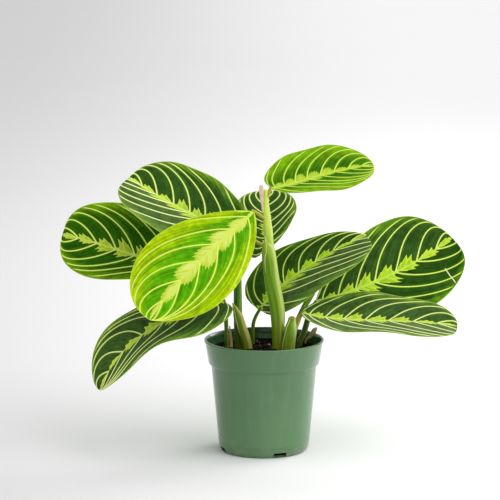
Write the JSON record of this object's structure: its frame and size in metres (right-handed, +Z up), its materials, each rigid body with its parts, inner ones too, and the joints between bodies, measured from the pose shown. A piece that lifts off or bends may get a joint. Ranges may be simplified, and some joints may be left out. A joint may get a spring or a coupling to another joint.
{
  "type": "potted prayer plant maranta",
  "caption": "Leafy prayer plant with broad patterned leaves on short stems, growing in soil in a round tapered plastic nursery pot that stands on a flat base.",
  "frame": {"origin": "centre of the pot's base, on the surface that it stands on", "axes": "+Z up along the pot's axis, +X to the viewer's right, the front faces -Y"},
  "size_m": [0.3494, 0.1372, 0.259],
  "materials": {
    "pot_plastic": "satin moulded polypropylene",
    "soil": "rough moist potting mix with light grains",
    "lime_leaf": "satin leaf, bright green with pale veins",
    "dark_leaf": "satin leaf, deep green with lime midrib and pale veins",
    "stem": "smooth fresh green stem",
    "dark_stem": "smooth deep green stem",
    "dry_scale": "dry papery scale"
  },
  "bodies": {
    "root": {"pot": "pot_plastic", "soil": "soil", "leaf_front_lime": "lime_leaf", "leaf_far_left": "dark_leaf", "leaf_upper_left": "dark_leaf", "leaf_back": "dark_leaf", "leaf_upper_right_lime": "lime_leaf", "leaf_centre_right": "dark_leaf", "leaf_large_right": "dark_leaf", "leaf_low_right": "dark_leaf", "leaf_low_left": "dark_leaf", "main_stem": "stem", "left_shoot": "dark_stem", "petiole_low_left": "dark_stem", "petiole_centre_right": "dark_stem", "shoot_low_right": "stem", "rolled_leaf": "stem", "petiole_large_right": "dark_stem", "dry_bract_right": "dry_scale", "dry_bract_left": "dry_scale", "dry_sheath_top": "dry_scale"}
  },
  "joints": []
}
